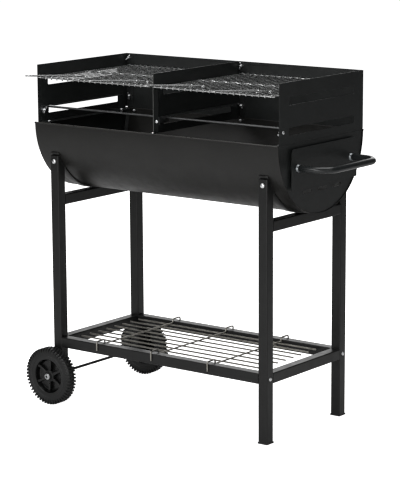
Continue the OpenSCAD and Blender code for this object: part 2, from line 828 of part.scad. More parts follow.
// push-on caps that keep the wheels on the axle
module axle_caps() {
    start_y = wheel_out_y + run_gap;
    color(zinc) in_frame() for (side = [-1, 1])
        translate([-axle_x, side * start_y, wheel_z]) rotate([side > 0 ? -90 : 90, 0, 0]) difference() {
            union() {
                cylinder(h = 1.4, d = 22);
                cylinder(h = hub_cap_y - start_y, d = 15);
            }
            translate([0, 0, -1]) cylinder(h = 2.6, d = axle_d + nut_play);
        }
}

// ---------- the nodes ----------

barrel_trough();
end_cap_left();
end_cap_right();
handle_shield();
handle_spacers();
push_handle();
handle_collars();
handle_inserts();
handle_bolts();
windshield_left();
windshield_right();
windshield_back();
divider();
divider_ledges();
front_rail();
rail_nut();
wing_nuts();
shield_bolts();
rim_bolts();
rim_nuts();
foot_screws();
foot_screw_nuts();
cooking_grate_left();
cooking_grate_right();
grate_handles_left();
grate_handles_right();
charcoal_grate_left();
charcoal_grate_right();
leg_front_left();
leg_front_right();
leg_back_left();
leg_back_right();
crossbar_left();
crossbar_right();
saddle_left();
saddle_right();
shelf_rail_front();
shelf_rail_back();
shelf_rail_left();
shelf_rail_right();
wire_shelf();
shelf_hooks_front();
shelf_hooks_back();
axle();
axle_spacers();
wheel_front();
wheel_back();
axle_caps();
foot_caps();
leg_bolts();
leg_nuts();
shelf_bolts();
shelf_nuts();
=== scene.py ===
"""Looks for the barrel charcoal grill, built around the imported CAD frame.

Layout points are written in the part's own layout, in millimetres: x = 0 is the divider
between the two cooking bays, y = 0 the middle of the trough and z = 0 the ground.
at() turns them into metres in the frame.
"""
import json
import math

import bmesh
import bpy
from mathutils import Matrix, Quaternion, Vector


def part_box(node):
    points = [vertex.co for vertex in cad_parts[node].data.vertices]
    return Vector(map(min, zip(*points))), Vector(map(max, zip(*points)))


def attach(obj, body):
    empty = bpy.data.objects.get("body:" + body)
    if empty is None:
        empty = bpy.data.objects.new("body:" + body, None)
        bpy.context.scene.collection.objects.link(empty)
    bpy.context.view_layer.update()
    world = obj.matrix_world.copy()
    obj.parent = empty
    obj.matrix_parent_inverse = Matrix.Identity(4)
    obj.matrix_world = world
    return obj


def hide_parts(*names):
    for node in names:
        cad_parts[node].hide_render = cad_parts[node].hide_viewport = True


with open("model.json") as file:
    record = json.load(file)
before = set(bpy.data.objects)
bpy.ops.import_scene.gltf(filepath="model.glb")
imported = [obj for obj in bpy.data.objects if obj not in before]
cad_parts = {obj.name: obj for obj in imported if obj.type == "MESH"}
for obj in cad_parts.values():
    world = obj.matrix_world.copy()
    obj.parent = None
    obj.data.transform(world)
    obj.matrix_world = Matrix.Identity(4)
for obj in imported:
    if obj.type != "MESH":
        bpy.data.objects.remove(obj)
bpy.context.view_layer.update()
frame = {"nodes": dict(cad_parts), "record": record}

MM = 0.001
LEG_X = 369.3
AXLE_X = 376.0

# the layout's origin in the frame, found from the axle, which lies at x = -AXLE_X, y = 0
axle_low, axle_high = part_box("axle")
axle_mid = (axle_low + axle_high) / 2
ORIGIN = Vector((axle_mid.x + AXLE_X * MM, axle_mid.y, 0.0))


def at(point):
    """A layout point in millimetres as a point of the frame in metres."""
    return Vector(point) * MM + ORIGIN


# ---------------------------------------------------------------- materials

def new_material(name):
    material = bpy.data.materials.new(name)
    material.use_nodes = True
    nodes = material.node_tree.nodes
    return material, nodes, material.node_tree.links, nodes["Principled BSDF"]


def noise_node(nodes, links, scale, detail=4.0, rough=0.55):
    """A 3-D noise in the object's own metres."""
    place = nodes.new("ShaderNodeTexCoord")
    noise = nodes.new("ShaderNodeTexNoise")
    noise.inputs["Scale"].default_value = scale
    noise.inputs["Detail"].default_value = detail
    noise.inputs["Roughness"].default_value = rough
    links.new(place.outputs["Object"], noise.inputs["Vector"])
    return noise


def ramp_node(nodes, links, source, stops):
    """Maps a value through colour stops [(position, (r, g, b)), ...]."""
    ramp = nodes.new("ShaderNodeValToRGB")
    while len(ramp.color_ramp.elements) < len(stops):
        ramp.color_ramp.elements.new(0.5)
    for element, (place, colour) in zip(ramp.color_ramp.elements, stops):
        element.position = place
        element.color = (*colour, 1.0)
    links.new(source, ramp.inputs["Fac"])
    return ramp


def range_node(nodes, links, source, low, high):
    """Maps 0.3..0.7 of a noise to low..high."""
    node = nodes.new("ShaderNodeMapRange")
    node.inputs["From Min"].default_value = 0.3
    node.inputs["From Max"].default_value = 0.7
    node.inputs["To Min"].default_value = low
    node.inputs["To Max"].default_value = high
    links.new(source, node.inputs["Value"])
    return node


def bump_node(nodes, links, source, strength, distance, below=None):
    bump = nodes.new("ShaderNodeBump")
    bump.inputs["Strength"].default_value = strength
    bump.inputs["Distance"].default_value = distance
    links.new(source, bump.inputs["Height"])
    if below is not None:
        links.new(below.outputs["Normal"], bump.inputs["Normal"])
    return bump


def paint_material(name, dark, light, rough, specular=0.4, orange_peel=0.06):
    """Baked satin paint: faint cloudy colour, uneven gloss and a fine orange-peel skin."""
    material, nodes, links, shader = new_material(name)
    cloud = noise_node(nodes, links, 9.0, 5.0)
    colour = ramp_node(nodes, links, cloud.outputs["Fac"], [(0.3, dark), (0.72, light)])
    links.new(colour.outputs["Color"], shader.inputs["Base Color"])
    smear = noise_node(nodes, links, 31.0, 6.0, 0.7)
    gloss = range_node(nodes, links, smear.outputs["Fac"], rough - 0.06, rough + 0.08)
    links.new(gloss.outputs["Result"], shader.inputs["Roughness"])
    peel = noise_node(nodes, links, 900.0, 2.0)
    skin = bump_node(nodes, links, peel.outputs["Fac"], orange_peel, 0.0004)
    wave = noise_node(nodes, links, 14.0, 2.0)
    dents = bump_node(nodes, links, wave.outputs["Fac"], 0.05, 0.004, skin)
    links.new(dents.outputs["Normal"], shader.inputs["Normal"])
    shader.inputs["Specular IOR Level"].default_value = specular
    return material


def metal_material(name, dark, light, rough, scratch=0.12):
    """Plated steel: patchy tone, uneven gloss and fine scratches."""
    material, nodes, links, shader = new_material(name)
    patch = noise_node(nodes, links, 60.0, 4.0)
    colour = ramp_node(nodes, links, patch.outputs["Fac"], [(0.3, dark), (0.7, light)])
    links.new(colour.outputs["Color"], shader.inputs["Base Color"])
    smear = noise_node(nodes, links, 240.0, 5.0, 0.7)
    gloss = range_node(nodes, links, smear.outputs["Fac"], rough - 0.08, rough + 0.1)
    links.new(gloss.outputs["Result"], shader.inputs["Roughness"])
    grain = noise_node(nodes, links, 1600.0, 3.0)
    skin = bump_node(nodes, links, grain.outputs["Fac"], scratch, 0.0002)
    links.new(skin.outputs["Normal"], shader.inputs["Normal"])
    shader.inputs["Metallic"].default_value = 1.0
    return material


def plastic_material(name, dark, light, rough):
    """Moulded black plastic with a fine spark-eroded grain."""
    material, nodes, links, shader = new_material(name)
    patch = noise_node(nodes, links, 24.0, 4.0)
    colour = ramp_node(nodes, links, patch.outputs["Fac"], [(0.3, dark), (0.7, light)])
    links.new(colour.outputs["Color"], shader.inputs["Base Color"])
    smear = noise_node(nodes, links, 90.0, 3.0)
    gloss = range_node(nodes, links, smear.outputs["Fac"], rough - 0.05, rough + 0.07)
    links.new(gloss.outputs["Result"], shader.inputs["Roughness"])
    grain = noise_node(nodes, links, 1400.0, 2.0)
    skin = bump_node(nodes, links, grain.outputs["Fac"], 0.2, 0.0003)
    links.new(skin.outputs["Normal"], shader.inputs["Normal"])
    shader.inputs["Specular IOR Level"].default_value = 0.35
    return material


MATERIALS = {
    "trough_paint": paint_material(
        "trough_paint", (0.0075, 0.0073, 0.0066), (0.0105, 0.0102, 0.0093),
        0.42, 0.36),
    "shield_paint": paint_material(
        "shield_paint", (0.0085, 0.0097, 0.0095), (0.0122, 0.0138, 0.0135),
        0.4, 0.44),
    "frame_paint": paint_material(
        "frame_paint", (0.0065, 0.0067, 0.0065), (0.0095, 0.0097, 0.0095),
        0.38, 0.34),
    "zinc": metal_material(
        "zinc", (0.68, 0.69, 0.7), (0.86, 0.87, 0.88),
        0.3),
    "chrome_wire": metal_material(
        "chrome_wire", (0.5, 0.505, 0.505), (0.72, 0.725, 0.72),
        0.28),
    "charcoal_steel": metal_material(
        "charcoal_steel", (0.16, 0.15, 0.14), (0.27, 0.26, 0.25),
        0.45),
    "shelf_wire": metal_material(
        "shelf_wire", (0.3, 0.285, 0.255), (0.44, 0.425, 0.39),
        0.4),
    "wheel_plastic": plastic_material(
        "wheel_plastic", (0.008, 0.0083, 0.0082), (0.012, 0.0124, 0.0122),
        0.42),
    "foot_plastic": plastic_material(
        "foot_plastic", (0.02, 0.02, 0.02), (0.03, 0.03, 0.03),
        0.55),
}
RAIL_METAL = metal_material(
    "rail_metal", (0.1, 0.102, 0.103), (0.16, 0.163, 0.165),
    0.35)
# Lighter, glossier paint for the top of the trough's front hem: a painted highlight.
HEM_HIGHLIGHT_PAINT = paint_material(
    "hem_highlight_paint", (0.02, 0.0195, 0.018), (0.045, 0.044, 0.041),
    0.3, 0.5)
COLLAR_METAL = metal_material(
    "collar_metal", (0.2, 0.215, 0.225), (0.32, 0.335, 0.345),
    0.38)
HANDLE_PAINT = paint_material(
    "handle_paint", (0.011, 0.0125, 0.0128), (0.015, 0.017, 0.0175),
    0.3, 0.45, 0.03)


# ---------------------------------------------------------------- mesh building

class Build:
    """Collects vertices and faces, in layout millimetres, for one piece."""

    def __init__(self):
        self.verts = []
        self.faces = []

    def add(self, verts, faces):
        start = len(self.verts)
        self.verts.extend(verts)
        self.faces.extend([[start + i for i in face] for face in faces])

    def rings(self, rings, closed_path=False, cap=True):
        """Skins a list of rings that all have the same number of points."""
        sides = len(rings[0])
        count = len(rings)
        verts = [p for ring in rings for p in ring]
        faces = []
        for i in range(count if closed_path else count - 1):
            a, b = i * sides, ((i + 1) % count) * sides
            for j in range(sides):
                k = (j + 1) % sides
                faces.append([a + j, a + k, b + k, b + j])
        if cap and not closed_path:
            faces.append(list(range(sides))[::-1])
            faces.append([(count - 1) * sides + j for j in range(sides)])
        self.add(verts, faces)

    def tube(self, path, radius, sides=12, closed=False):
        """A round wire along a path, with chamfered ends."""
        path = [Vector(p) for p in path]
        count = len(path)
        tangents = []
        for i in range(count):
            before = path[(i - 1) % count] if closed or i > 0 else path[i]
            after = path[(i + 1) % count] if closed or i < count - 1 else path[i]
            tangents.append((after - before).normalized())
        side = tangents[0].orthogonal().normalized()
        rings = []
        for i, (point, tangent) in enumerate(zip(path, tangents)):
            side = (side - tangent * side.dot(tangent)).normalized()
            up = tangent.cross(side)
            ring = [
                point + (side * math.cos(a) + up * math.sin(a)) * radius
                for a in (2 * math.pi * j / sides for j in range(sides))
            ]
            if not closed and i in (0, count - 1):
                centre = point
                small = [centre + (p - centre) * 0.6 for p in ring]
                inset = tangent * radius * 0.4 * (1 if i == 0 else -1)
                full = [p + inset for p in ring]
                rings.extend([small, full] if i == 0 else [full, small])
            else:
                rings.append(ring)
        self.rings(rings, closed_path=closed)

    def revolve(self, origin, axis, profile, steps=48, closed_profile=False):
        """Turns (radius, height) points about an axis through origin. Height runs along the axis."""
        axis = Vector(axis).normalized()
        side = axis.orthogonal().normalized()
        up = axis.cross(side)
        origin = Vector(origin)
        rings = []
        for i in range(steps):
            a = 2 * math.pi * i / steps
            out = side * math.cos(a) + up * math.sin(a)
            rings.append([origin + out * r + axis * h for r, h in profile])
        count = len(profile)
        verts = [p for ring in rings for p in ring]
        faces = []
        for i in range(steps):
            a, b = i * count, ((i + 1) % steps) * count
            for j in range(count if closed_profile else count - 1):
                k = (j + 1) % count
                faces.append([a + j, a + k, b + k, b + j])
        self.add(verts, faces)

    def block(self, centre, size, axes=None):
        """A box given by its centre, its full size and its own three axes."""
        centre = Vector(centre)
        u, v, w = axes or (Vector((1, 0, 0)), Vector((0, 1, 0)), Vector((0, 0, 1)))
        verts = [
            centre + u * (i * size[0] / 2) + v * (j * size[1] / 2) + w * (k * size[2] / 2)
            for i in (-1, 1) for j in (-1, 1) for k in (-1, 1)
        ]
        faces = [[0, 1, 3, 2], [4, 6, 7, 5], [0, 4, 5, 1], [2, 3, 7, 6], [0, 2, 6, 4], [1, 5, 7, 3]]
        self.add(verts, faces)

    def prism(self, outline, origin, u, v, w, height):
        """An outline of (u, v) points raised along w."""
        origin, u, v, w = Vector(origin), Vector(u), Vector(v), Vector(w)
        low = [origin + u * a + v * b for a, b in outline]
        high = [p + w * height for p in low]
        self.rings([low, high])


def make_piece(name, build, slot, body, replaces=(), material=None, bevel=None, smooth=35):
    """Turns a Build into an object that rides on a body and takes a material slot."""
    mesh = bpy.data.meshes.new(name)
    mesh.from_pydata([at(p) for p in build.verts], [], build.faces)
    shape = bmesh.new()
    shape.from_mesh(mesh)
    bmesh.ops.remove_doubles(shape, verts=shape.verts, dist=1e-6)
    bmesh.ops.recalc_face_normals(shape, faces=shape.faces)
    shape.to_mesh(mesh)
    shape.free()
    obj = bpy.data.objects.new(name, mesh)
    bpy.context.scene.collection.objects.link(obj)
    mesh.shade_smooth()
    mesh.set_sharp_from_angle(angle=math.radians(smooth))
    mesh.materials.append(material or MATERIALS[slot])
    if bevel:
        add_bevel(obj, bevel)
    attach(obj, body)
    if replaces:
        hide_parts(*replaces)
    return obj


def add_bevel(obj, width_mm, segments=2, angle=35):
    bevel = obj.modifiers.new("edge", "BEVEL")
    bevel.width = width_mm * MM
    bevel.segments = segments
    bevel.limit_method = "ANGLE"
    bevel.angle_limit = math.radians(angle)
    bevel.harden_normals = False
    return bevel


def divider_paint():
    """The shields' paint, with painted shade (a darker colour and less gloss) on the divider's front flange
    and a painted highlight along its fold.
    """
    material = paint_material("divider_paint", (0.0085, 0.0097, 0.0095), (0.0122, 0.0138, 0.0135), 0.4, 0.44)
    nodes, links = material.node_tree.nodes, material.node_tree.links
    shader = nodes["Principled BSDF"]
    plain_colour = shader.inputs["Base Color"].links[0].from_socket
    place = nodes.new("ShaderNodeSeparateXYZ")
    links.new(nodes.new("ShaderNodeNewGeometry").outputs["Position"], place.inputs[0])
    front = nodes.new("ShaderNodeMath")
    front.operation = "LESS_THAN"
    front.inputs[1].default_value = at((0, PANEL_FRONT_Y + FLANGE_DEPTH, 0)).y
    links.new(place.outputs["Y"], front.inputs[0])
    # The fold mask: a thin strip next to the fold that takes a painted highlight.
    fold = nodes.new("ShaderNodeMath")
    fold.operation = "LESS_THAN"
    fold.inputs[1].default_value = at((FOLD_X, 0, 0)).x
    links.new(place.outputs["X"], fold.inputs[0])
    # Painted shade on the front flange, with a painted highlight in a thin strip along the fold.
    flange = nodes.new("ShaderNodeMix")
    flange.data_type = "RGBA"
    flange.inputs["A"].default_value = FLANGE_PAINTED_SHADE
    flange.inputs["B"].default_value = FOLD_PAINTED_HIGHLIGHT
    links.new(fold.outputs[0], flange.inputs["Factor"])
    mix = nodes.new("ShaderNodeMix")
    mix.data_type = "RGBA"
    links.new(front.outputs[0], mix.inputs["Factor"])
    links.new(plain_colour, mix.inputs["A"])
    links.new(flange.outputs["Result"], mix.inputs["B"])
    links.new(mix.outputs["Result"], shader.inputs["Base Color"])
    # Lower specular on the front flange, part of its painted shade.
    shine = nodes.new("ShaderNodeMapRange")
    shine.inputs["To Min"].default_value = PLAIN_SPECULAR
    shine.inputs["To Max"].default_value = FLANGE_SHADE_SPECULAR
    links.new(front.outputs[0], shine.inputs["Value"])
    links.new(shine.outputs["Result"], shader.inputs["Specular IOR Level"])
    return material


# The divider's front flange: painted shade (darker colour, lower specular) and a painted highlight along its
# fold.
FLANGE_DEPTH = 3.0
PLAIN_SPECULAR = 0.44
FLANGE_SHADE_SPECULAR = 0.12
FOLD_X = 1.2
FLANGE_PAINTED_SHADE = (0.0035, 0.0042, 0.004, 1)
FOLD_PAINTED_HIGHLIGHT = (0.1, 0.102, 0.098, 1)


def dress_cad_nodes():
    """Gives every CAD node its slot's material; the front rail gets the rail metal and the divider its own
    paint.
    """
    for part in frame["record"]["subparts"]:
        obj = frame["nodes"][part["node"]]
        material = MATERIALS[part["material_slot"]]
        if part["node"] == "front_rail":
            material = RAIL_METAL
        if part["node"] == "divider":
            material = divider_paint()
        if not obj.material_slots:
            obj.data.materials.append(material)
        for place in obj.material_slots:
            place.material = material


# ---------------------------------------------------------------- wires

def bend_path(points, radius, steps=5):
    """A polyline with its corners rounded."""
    points = [Vector(p) for p in points]
    path = [points[0]]
    for before, corner, after in zip(points, points[1:], points[2:]):
        way_in, way_out = (before - corner), (after - corner)
        reach = min(radius, way_in.length / 2, way_out.length / 2)
        start = corner + way_in.normalized() * reach
        end = corner + way_out.normalized() * reach
        for i in range(steps + 1):
            t = i / steps
            path.append(start * (1 - t) ** 2 + corner * 2 * t * (1 - t) + end * t ** 2)
    path.append(points[-1])
    return path


GRATE_Z = 958.0
GRATE_X = 210.5
GRATE_HALF = 205.5
GRATE_FRONT_Y, GRATE_MID_Y, GRATE_BACK_Y = -203.0, -1.5, 200.0
BAR_PITCH = 20.5
BAR_COUNT = 20
BAR_R = 1.5
CROSS_R = 1.5
CRIMP = 1.5
WEAVE = 1.5
GRIP_BAR = 5.5
GRIP_BASE_Y = -128.0
GRIP_TIP_Y = -356.0
GRIP_RISE = 20.0
GRIP_R = 1.7


def bar_path(x, index):
    """One cooking bar: crimped at the middle wire, wrapped round the front and back wires."""
    wrap = BAR_R + CROSS_R + 0.1
    start = -10 if index in (0, BAR_COUNT - 1) else -110  # the outer bars slide on the ledges
    turn = (90 - start) / 5
    sign = 1 if index % 2 else -1
    path = []
    for step in range(6):
        a = math.radians(start + step * turn)
        path.append((x, GRATE_FRONT_Y - wrap * math.cos(a), GRATE_Z + wrap * math.sin(a) - 0.2))
    y = GRATE_FRONT_Y + 9
    while y < GRATE_BACK_Y - 8:
        lift = sign * CRIMP * math.exp(-((y - GRATE_MID_Y) / 8.0) ** 2)
        settle = wrap * math.exp(-((y - GRATE_FRONT_Y) / 7.0) ** 2)
        settle += wrap * math.exp(-((y - GRATE_BACK_Y) / 7.0) ** 2)
        path.append((x, y, GRATE_Z + lift + settle * 0.9))
        y += 4.0 if abs(y - GRATE_MID_Y) < 24 or y < GRATE_FRONT_Y + 20 else 12.0
    for step in range(6):
        a = math.radians(90 - step * turn)
        path.append((x, GRATE_BACK_Y + wrap * math.cos(a), GRATE_Z + wrap * math.sin(a) - 0.2))
    return path


def cooking_grate(side):
    """A crimped-wire cooking grate: 20 bars on three cross wires."""
    name = "left" if side < 0 else "right"
    centre = side * GRATE_X
    build = Build()
    first = centre - (BAR_COUNT - 1) / 2 * BAR_PITCH
    for i in range(BAR_COUNT):
        build.tube(bar_path(first + i * BAR_PITCH, i), BAR_R, 8)
    for y in (GRATE_FRONT_Y, GRATE_BACK_Y):
        build.tube([(centre - GRATE_HALF, y, GRATE_Z), (centre + GRATE_HALF, y, GRATE_Z)], CROSS_R, 10)
    weave = []
    steps = 6 * BAR_COUNT
    for k in range(steps + 1):
        x = centre - GRATE_HALF + 2 * GRATE_HALF * k / steps
        phase = math.pi * (x - first) / BAR_PITCH
        weave.append((x, GRATE_MID_Y, GRATE_Z + WEAVE * math.cos(phase)))
    build.tube(weave, CROSS_R, 8)
    make_piece("grate_wires_" + name, build, "chrome_wire", name + "_grate", ["cooking_grate_" + name])


def grate_grips(side):
    """The two loop handles of a grate: legs coiled round two bars and joined by a round tip."""
    name = "left" if side < 0 else "right"
    build = Build()
    ring = BAR_R + GRIP_R + 0.15
    for hand in (-1, 1):
        centre = side * GRATE_X + hand * GRIP_BAR * BAR_PITCH
        legs = []
        for leg in (-1, 1):
            x = centre + leg * BAR_PITCH
            coil = []
            turns = 1.35
            steps = 22
            for i in range(steps):
                a = 2 * math.pi * turns * (1 - i / (steps - 1))
                coil.append((
                    x + leg * ring * math.sin(a),
                    GRIP_BASE_Y + 7.0 * (1 - i / (steps - 1)),
                    GRATE_Z + ring * math.cos(a),
                ))
            legs.append(coil)
        tip = []
        tip_r = 6.0
        tip_z = GRATE_Z + ring + GRIP_RISE
        for i in range(9):
            a = math.pi * i / 8
            tip.append((
                centre - tip_r * math.cos(a),
                GRIP_TIP_Y + GRIP_R + tip_r - tip_r * math.sin(a),
                tip_z,
            ))
        left, right = legs
        start, end = Vector(left[-1]), Vector(tip[0])
        run_out = [start.lerp(end, t) for t in (0.04, 0.2, 0.4, 0.6, 0.8, 0.97)]
        start, end = Vector(tip[-1]), Vector(right[-1])
        run_back = [start.lerp(end, t) for t in (0.03, 0.2, 0.4, 0.6, 0.8, 0.96)]
        build.tube(left + run_out + tip + run_back + right[::-1], GRIP_R, 10)
    make_piece("grate_grips_" + name, build, "chrome_wire", name + "_grate", ["grate_handles_" + name])


def charcoal_grate(side):
    """Round charcoal bars welded on three heavier cross rods."""
    name = "left" if side < 0 else "right"
    node = "charcoal_grate_" + name
    low, high = (Vector(c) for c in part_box(node))
    low, high = (low - ORIGIN) / MM, (high - ORIGIN) / MM
    z = (low.z + high.z) / 2
    build = Build()
    bars = 19
    middle = (low.x + high.x) / 2
    for i in range(bars):
        x = middle + (i - (bars - 1) / 2) * 20.0
        build.tube([(x, low.y, z + 0.4), (x, 0, z + 0.4), (x, high.y, z + 0.4)], 2.0, 8)
    for y in (-120, 0, 120):
        build.tube([(low.x, y, z), (middle, y, z), (high.x, y, z)], 2.4, 8)
    make_piece("charcoal_wires_" + name, build, "charcoal_steel", name + "_charcoal", [node])


SHELF_X = -17.0
SHELF_HALF = 328.0
SHELF_Z = 188.5
SHELF_PITCH = 38.0
SHELF_R = 2.3
RAIL_TOP_Z = 197.5
LEG_OUT_Y = 193.3
TUBE = 30.0


def wire_shelf():
    """Nine long wires under three cross wires that hook over the long shelf rails."""
    build = Build()
    for i in range(-4, 5):
        y = i * SHELF_PITCH
        ends = [(SHELF_X - SHELF_HALF, y, SHELF_Z), (SHELF_X, y, SHELF_Z), (SHELF_X + SHELF_HALF, y, SHELF_Z)]
        build.tube(ends, SHELF_R, 10)
    out_y = LEG_OUT_Y + 0.3 + SHELF_R
    over_z = RAIL_TOP_Z + 0.3 + SHELF_R
    cross_z = SHELF_Z + 2 * SHELF_R - 0.3
    in_y = LEG_OUT_Y - TUBE
    for k in (-1, 0, 1):
        x = SHELF_X + 200 * k
        half = [(out_y, 177.5), (out_y, over_z + 5), (in_y - 3, over_z + 5), (in_y - 4, cross_z)]
        points = [(x, -y, z) for y, z in half] + [(x, y, z) for y, z in reversed(half)]
        build.tube(bend_path(points, 7.0), SHELF_R, 10)
    make_piece("shelf_wires", build, "shelf_wire", "shelf",
               ["wire_shelf", "shelf_hooks_front", "shelf_hooks_back"])


# ---------------------------------------------------------------- wheels

WHEEL_R = 84.5
WHEEL_W = 34.0
WHEEL_IN_Y = LEG_OUT_Y + 7.2
HUB_R = 17.0
RIM_R = 50.0
TREAD_R = 82.0
LUGS = 50
# Darker, glossier plastic for the wheel's dish and ribs: the darker colour is painted shade in the deep
# recess.
DISH_SHADE_PLASTIC = plastic_material(
    "dish_shade_plastic", (0.003, 0.0031, 0.0031), (0.005, 0.0051, 0.0051),
    0.22)


def polar(axis, angle):
    """The outward and the forward direction at an angle round a Y axis."""
    out = Vector((math.cos(angle), 0, math.sin(angle)))
    return out, axis.cross(out)


def wheel(side):
    """A moulded wheel: lugged tyre, ribbed shoulders, dished web with six ribs, and a hub."""
    name = "front" if side < 0 else "back"
    middle = Vector((-AXLE_X, side * (WHEEL_IN_Y + WHEEL_W / 2), WHEEL_R))
    axis = Vector((0, side, 0))
    half = WHEEL_W / 2
    build = Build()
    wall = [
        (RIM_R, half - 4.2), (RIM_R + 1.0, half - 2.6), (RIM_R + 3.2, half - 2.2), (57, half - 1.6),
        (61.2, half - 1.2), (61.6, half - 0.5), (62.6, half - 0.5), (63.0, half - 1.2),
        (68, half - 1.3), (74, half - 2.0), (78, half - 4.0), (TREAD_R, half - 7.5),
    ]
    dish_out = [
        (HUB_R - 1, -2.0), (24, -2.6), (40, -2.6), (45, -1.0), (RIM_R - 1.8, 4.0),
        (RIM_R - 0.6, half - 5),
    ]
    dish_in = [
        (HUB_R - 1, -5.0), (24, -5.6), (40, -5.6), (46, -6.4), (RIM_R - 1.6, -9.0),
        (RIM_R - 0.6, 5 - half),
    ]
    section = dish_out + wall + [(r, -h) for r, h in reversed(wall)] + dish_in[::-1]
    build.revolve(middle, axis, section, 120, closed_profile=True)
    hub = [
        (4.05, -half), (HUB_R - 3, -half), (HUB_R - 2, -half + 1), (HUB_R, -3), (HUB_R, half - 8),
        (HUB_R - 1.2, half - 6.5), (12.2, half - 5.8), (11.4, half - 0.8), (10.6, half), (4.05, half),
    ]
    build.revolve(middle, axis, hub, 48, closed_profile=True)
    for i in range(6):
        out, across = polar(axis, math.radians(60 * i + 27))
        spoke(build, middle, axis, out, across, 1)
        spoke(build, middle, axis, out, across, -1)
    for i in range(LUGS):
        turn = 2 * math.pi / LUGS
        for face in (-1, 1):
            stagger = 0.0 if face > 0 else 0.5
            lug(build, middle, axis, (i + stagger) * turn, face, 8.4, 16.6, True)
            lug(build, middle, axis, (i + stagger + 0.5) * turn, face, 0.6, 7.4, False)
    wheel_obj = make_piece("wheel_moulding_" + name, build, "wheel_plastic", "wheel_%s_body" % name,
                           ["wheel_" + name], bevel=0.35, smooth=30)
    # The dish and its ribs between hub and rim take the darker plastic: painted shade in the recess.
    wheel_obj.data.materials.append(DISH_SHADE_PLASTIC)
    centre = at(middle)
    for face in wheel_obj.data.polygons:
        spot = face.center - centre
        if HUB_R < math.hypot(spot.x, spot.z) / MM < RIM_R - 0.3:
            face.material_index = 1


def spoke(build, middle, axis, out, across, face):
    """One tapered rib from the hub to the rim, standing on one face of the web."""
    rings = []
    low = -2.8 if face > 0 else 5.2
    stations = ((HUB_R - 1.5, 11.0, 9.0), (28, 8.0, 7.0), (40, 7.4, 6.6), (RIM_R - 0.8, 9.0, 9.5))
    for radius, wide, tall in stations:
        base = middle + out * radius
        foot, top = wide * 0.5 + 1.0, wide * 0.5 - 0.5
        rings.append([
            base + across * -foot + axis * face * low,
            base + across * -top + axis * face * (tall + (0 if face > 0 else 3)),
            base + across * top + axis * face * (tall + (0 if face > 0 else 3)),
            base + across * foot + axis * face * low,
        ])
    build.rings(rings)


def lug(build, middle, axis, angle, face, low, high, shoulder):
    """One tread block: a block on the tread, which on the shoulder runs down the sidewall as a rib."""
    out, across = polar(axis, angle)
    skew = across * 0.14 * face
    top, foot = WHEEL_R - 0.1, TREAD_R - 1.5
    if shoulder:
        profile = [
            (low, foot, 3.3), (low + 0.8, top, 2.7), (high - 2.4, top, 2.7), (high - 0.5, top - 2.6, 2.6),
            (high, 77.5, 2.3), (high - 0.4, 71.5, 1.4), (high - 3.0, 71.5, 1.4), (high - 4.5, foot, 2.3),
        ]
    else:
        profile = [(low, foot, 3.3), (low + 0.8, top, 2.7), (high - 0.8, top, 2.7), (high, foot, 3.3)]
    rings = []
    for edge in (-1, 1):
        rings.append([
            middle + out * radius + (axis * face + skew) * along + across * edge * width
            for along, radius, width in profile
        ])
    build.rings(rings)


def axle_caps():
    """Bright push-on caps: a flanged ring with a dished middle."""
    build = Build()
    for side in (-1, 1):
        start = side * (WHEEL_IN_Y + WHEEL_W + 0.3)
        origin = (-AXLE_X, start, WHEEL_R)
        profile = [
            (4.15, 0.0), (8.6, 0.0), (8.9, 0.5), (8.6, 1.1), (7.0, 1.5), (6.6, 3.6), (5.9, 4.2),
            (4.6, 4.0), (4.3, 2.4), (4.15, 1.4),
        ]
        build.revolve(origin, (0, side, 0), profile, 40, closed_profile=True)
    make_piece("axle_push_caps", build, "zinc", "root", ["axle_caps"])


# ---------------------------------------------------------------- fasteners

def pan_head(build, origin, axis, radius, height):
    """A domed bolt head standing on a surface."""
    profile = [(0.0, -0.2), (radius, -0.2), (radius, height * 0.28)]
    for i in range(1, 7):
        a = math.radians(15 * i)
        profile.append((radius * math.cos(a) ** 0.8 if i < 6 else 0.0, height * (0.28 + 0.72 * math.sin(a))))
    build.revolve(origin, axis, profile, 28)


def hex_shape(build, origin, axis, across, height, bore=0.0):
    """A hexagonal head or nut with chamfered corners; bore leaves a hole."""
    axis = Vector(axis).normalized()
    side = axis.orthogonal().normalized()
    up = axis.cross(side)
    origin = Vector(origin)
    corner = across / math.sqrt(3)
    rings = []
    for rise, shrink in ((0.0, 0.93), (height * 0.16, 1.0), (height * 0.8, 1.0), (height, 0.88)):
        ring = []
        for i in range(24):
            a = 2 * math.pi * i / 24
            flat = across / 2 / math.cos((a % (math.pi / 3)) - math.pi / 6)
            radius = min(flat, corner * shrink)
            ring.append(origin + (side * math.cos(a) + up * math.sin(a)) * radius + axis * rise)
        rings.append(ring)
    if bore:
        for rise in (height, 0.0):
            rings.append([
                origin + (side * math.cos(a) + up * math.sin(a)) * bore + axis * rise
                for a in (2 * math.pi * i / 24 for i in range(24))
            ])
        rings.append(rings[0])
        build.rings(rings, cap=False)
    else:
        build.rings(rings)


def shank(build, origin, axis, radius, length):
    """A threaded shank: shallow rings along its length and a chamfered end."""
    pitch = 0.9
    profile = [(0.0, 0.0), (radius, 0.0)]
    turns = int(length / pitch)
    for i in range(turns):
        profile.append((radius, i * pitch + 0.2))
        profile.append((radius - 0.28, i * pitch + 0.65))
    profile.append((radius - 0.6, length))
    profile.append((0.0, length))
    build.revolve(origin, axis, profile, 16)


